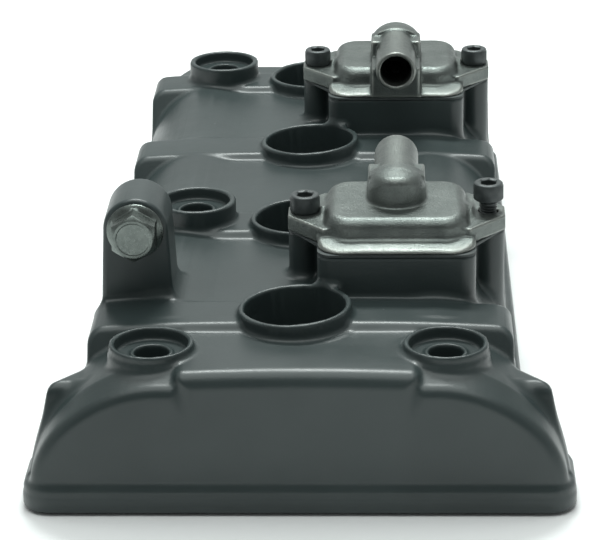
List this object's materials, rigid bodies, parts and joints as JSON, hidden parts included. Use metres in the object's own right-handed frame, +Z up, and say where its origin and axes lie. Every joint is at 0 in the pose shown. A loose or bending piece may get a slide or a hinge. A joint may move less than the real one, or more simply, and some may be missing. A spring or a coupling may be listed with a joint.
{
  "type": "engine camshaft cover",
  "caption": "Black cast camshaft cover for an inline twin-cam engine, with leaning spark plug tubes, bolt bosses and bolted air valve covers with hose pipes.",
  "frame": {"origin": "middle of the cover's length and width, on the underside of the gasket that meets the cylinder head", "axes": "+Y along the camshafts away from the cam chain end, +X towards the air valve side, +Z up"},
  "size_m": [0.175, 0.335, 0.0849],
  "materials": {
    "black_casting": "satin black paint on a fine-grained aluminium casting",
    "raw_casting": "bare die-cast aluminium, grainy",
    "machined_aluminium": "machined",
    "black_steel": "black oxide steel",
    "zinc_steel": "zinc-plated steel",
    "spring_steel": "rolled stainless strip",
    "seal_rubber": "moulded nitrile rubber",
    "gasket_paper": "coated gasket sheet"
  },
  "bodies": {
    "cover": {"cover_shell": "black_casting", "perimeter_gasket": "seal_rubber", "plug_seal_1": "seal_rubber", "plug_seal_2": "seal_rubber", "plug_seal_3": "seal_rubber", "plug_seal_4": "seal_rubber", "front_air_cover": "raw_casting", "rear_air_cover": "raw_casting", "front_air_gasket": "gasket_paper", "rear_air_gasket": "gasket_paper", "front_left_cap_screw": "black_steel", "front_right_cap_screw": "black_steel", "rear_left_cap_screw": "black_steel", "rear_right_cap_screw": "black_steel", "flange_bolt": "zinc_steel", "front_reed_plate": "machined_aluminium", "rear_reed_plate": "machined_aluminium", "reed_stopper_1": "spring_steel", "reed_stopper_2": "spring_steel", "reed_stopper_3": "spring_steel", "reed_stopper_4": "spring_steel", "reed_screws_1": "spring_steel", "reed_screws_2": "spring_steel", "reed_screws_3": "spring_steel", "reed_screws_4": "spring_steel", "air_dowel_1": "machined_aluminium", "air_dowel_2": "machined_aluminium", "air_dowel_3": "machined_aluminium", "air_dowel_4": "machined_aluminium", "dowel_ring_1": "seal_rubber", "dowel_ring_2": "seal_rubber", "dowel_ring_3": "seal_rubber", "dowel_ring_4": "seal_rubber"},
    "petal_1": {"reed_petal_1": "spring_steel"},
    "petal_2": {"reed_petal_2": "spring_steel"},
    "petal_3": {"reed_petal_3": "spring_steel"},
    "petal_4": {"reed_petal_4": "spring_steel"}
  },
  "joints": [
    {"name": "petal_1_lift", "type": "hinge", "parent": "cover", "child": "petal_1", "pos_m": [0.0205, -0.0935, 0.06025], "axis": [-1, 0, 0], "range_deg": [0, 7], "stiffness_Nm_per_rad": 0.03, "springref_deg": -3.44},
    {"name": "petal_2_lift", "type": "hinge", "parent": "cover", "child": "petal_2", "pos_m": [0.0415, -0.0935, 0.06025], "axis": [-1, 0, 0], "range_deg": [0, 7], "stiffness_Nm_per_rad": 0.03, "springref_deg": -3.44},
    {"name": "petal_3_lift", "type": "hinge", "parent": "cover", "child": "petal_3", "pos_m": [0.0415, 0.1045, 0.06025], "axis": [1, 0, 0], "range_deg": [0, 7], "stiffness_Nm_per_rad": 0.03, "springref_deg": -3.44},
    {"name": "petal_4_lift", "type": "hinge", "parent": "cover", "child": "petal_4", "pos_m": [0.0205, 0.1045, 0.06025], "axis": [1, 0, 0], "range_deg": [0, 7], "stiffness_Nm_per_rad": 0.03, "springref_deg": -3.44}
  ]
}
